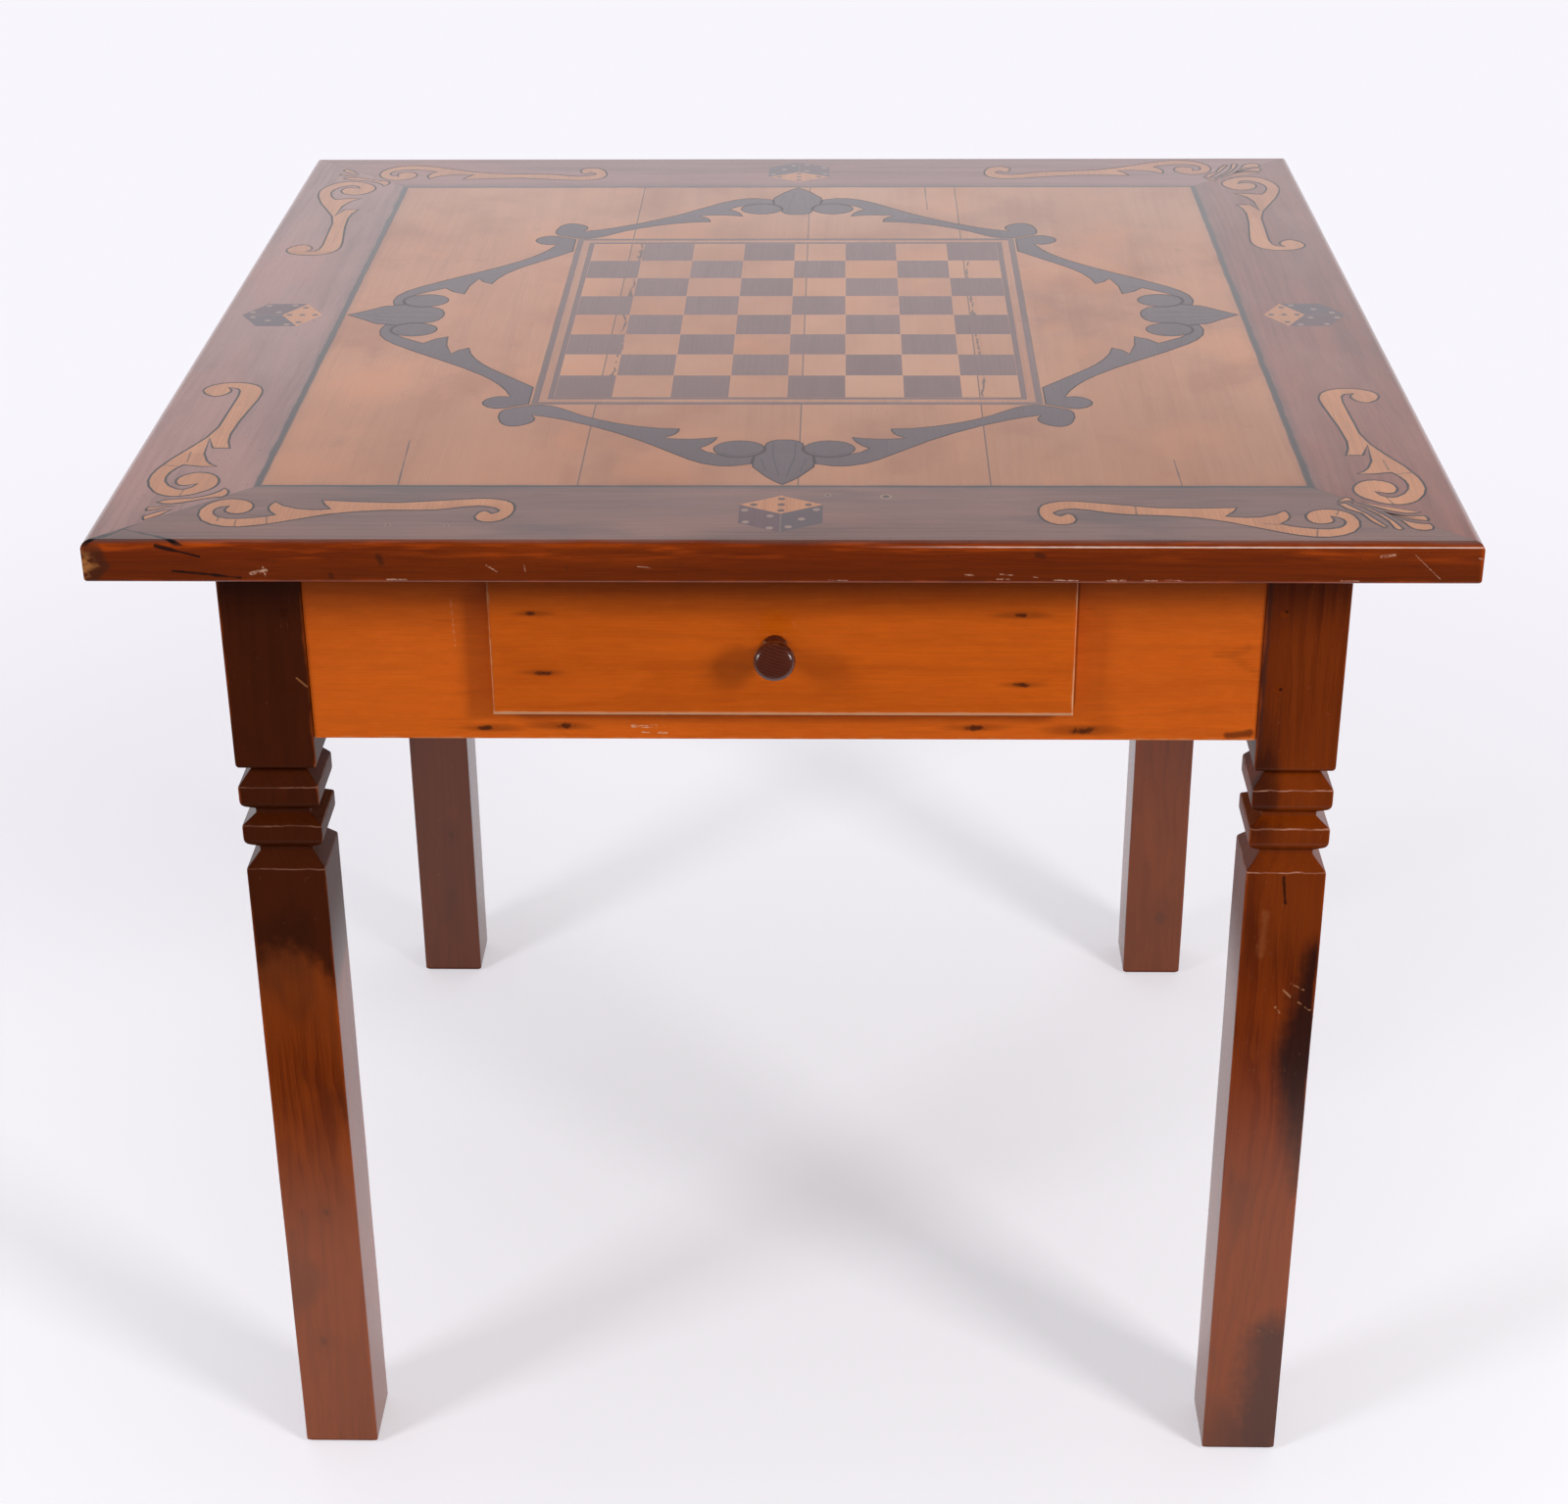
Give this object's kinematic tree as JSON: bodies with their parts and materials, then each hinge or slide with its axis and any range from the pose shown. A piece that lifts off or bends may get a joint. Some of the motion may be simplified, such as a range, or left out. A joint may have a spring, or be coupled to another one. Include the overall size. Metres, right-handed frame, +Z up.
{
  "type": "game table",
  "caption": "Square-legged wooden side table with a chess board inlaid in a framed top, leaf-scroll inlays, ringed posts and one shallow drawer.",
  "frame": {"origin": "middle of the footprint, on the floor", "axes": "+Z up, +Y from the drawer side to the back, so the drawer opens towards -Y, +X to the right of someone facing the drawer"},
  "size_m": [0.85, 0.87, 0.76],
  "materials": {
    "dark_frame": "dark reddish brown stain under satin varnish",
    "pale_field": "pale pine under satin varnish",
    "dark_inlay": "dark brown inlay under satin varnish",
    "pale_inlay": "pale maple inlay under satin varnish",
    "post_wood": "dark reddish brown varnish",
    "orange_wood": "orange varnished pine",
    "inner_wood": "bare pine",
    "knob_wood": "dark glossy varnish"
  },
  "bodies": {
    "table": {"border_front": "dark_frame", "border_back": "dark_frame", "border_left": "dark_frame", "border_right": "dark_frame", "mitre_splines": "inner_wood", "field_plank_outer_left": "pale_field", "field_plank_inner_left": "pale_field", "field_plank_inner_right": "pale_field", "field_plank_outer_right": "pale_field", "dark_squares": "dark_inlay", "inner_dark_band": "dark_inlay", "light_band": "pale_field", "outer_dark_band": "dark_inlay", "diamond_fleurons": "dark_inlay", "diamond_arms": "dark_inlay", "diamond_discs": "dark_inlay", "corner_scrolls": "pale_inlay", "corner_palmettes": "pale_inlay", "dice_light_faces": "pale_inlay", "dice_dark_faces": "dark_inlay", "leg_front_left": "post_wood", "leg_front_right": "post_wood", "leg_back_left": "post_wood", "leg_back_right": "post_wood", "apron_front": "orange_wood", "apron_back": "orange_wood", "apron_left": "orange_wood", "apron_right": "orange_wood", "tenon_pegs": "post_wood", "glue_blocks": "inner_wood", "runner_left": "inner_wood", "runner_right": "inner_wood", "kicker_left": "inner_wood", "kicker_right": "inner_wood"},
    "drawer": {"drawer_front": "orange_wood", "drawer_side_left": "inner_wood", "drawer_side_right": "inner_wood", "drawer_back": "inner_wood", "drawer_bottom": "inner_wood", "drawer_knob": "knob_wood"}
  },
  "joints": [
    {"name": "drawer_slide", "type": "slide", "parent": "table", "child": "drawer", "axis": [0, -1, 0], "range_m": [0, 0.3]}
  ]
}
